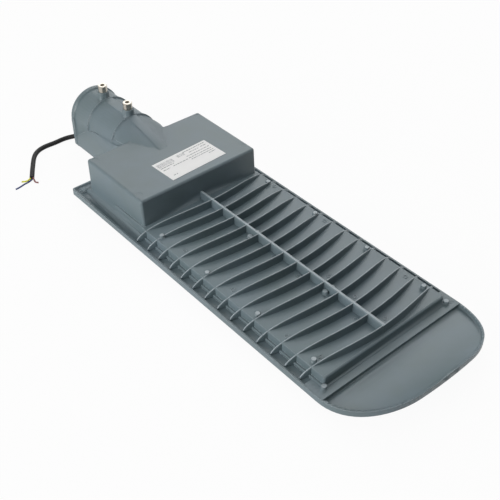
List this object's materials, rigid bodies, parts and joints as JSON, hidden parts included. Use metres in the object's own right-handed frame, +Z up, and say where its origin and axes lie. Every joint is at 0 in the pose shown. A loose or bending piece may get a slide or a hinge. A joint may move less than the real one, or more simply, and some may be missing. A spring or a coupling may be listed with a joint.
{
  "type": "LED street light head",
  "caption": "Street light head: finned cast body with a gear box, a side-entry pole neck with two clamp screws and a cut supply cable.",
  "frame": {"origin": "on the ground under the middle of the head's bounding box, without the cable", "axes": "+Z up (the fins point up, the glass faces down), +Y towards the pole neck's mouth, -Y towards the nose, +X to the right"},
  "size_m": [0.2763, 0.7059, 0.103],
  "materials": {
    "cast_paint": "satin powder coat over die-cast aluminium",
    "plate_paint": "satin powder coat",
    "zinc_steel": "zinc plated, bright",
    "label_film": "plain polyester film",
    "toughened_glass": "clear, polished edge",
    "clear_lens": "clear moulded polycarbonate",
    "board_white": "white solder mask on aluminium board",
    "phosphor": "yellow phosphor over the chips",
    "silicone": "matt black silicone",
    "driver_alloy": "clear anodised extrusion",
    "black_plastic": "moulded nylon",
    "grey_plastic": "moulded nylon",
    "cable_rubber": "matt black sheath",
    "core_blue": "blue PVC",
    "core_brown": "brown PVC",
    "core_green_yellow": "green and yellow PVC"
  },
  "bodies": {
    "root": {"body_casting": "cast_paint", "pole_screw_front": "zinc_steel", "pole_screw_rear": "zinc_steel", "pole_screw_washers": "zinc_steel", "rating_label": "label_film", "glass_frame": "plate_paint", "glass_frame_screws": "zinc_steel", "cover_glass": "toughened_glass", "glass_gasket": "silicone", "driver_cover": "plate_paint", "driver_gasket": "silicone", "driver_cover_screws": "zinc_steel", "led_board_left": "board_white", "led_board_right": "board_white", "optic_left": "clear_lens", "optic_right": "clear_lens", "leds": "phosphor", "optic_screws": "zinc_steel", "driver_case": "driver_alloy", "driver_end_caps": "black_plastic", "driver_screws": "zinc_steel", "surge_protector": "grey_plastic", "terminal_block": "grey_plastic", "terminal_screws": "zinc_steel", "earth_screw": "zinc_steel", "cable_gland_body": "black_plastic", "cable_gland_dome": "black_plastic", "cable_gland_nut": "black_plastic", "gland_seal": "silicone", "mains_leads": "core_blue", "led_leads": "core_brown", "supply_cable": "cable_rubber", "wire_earth": "core_green_yellow", "wire_neutral": "core_blue", "wire_live": "core_brown"}
  },
  "joints": []
}
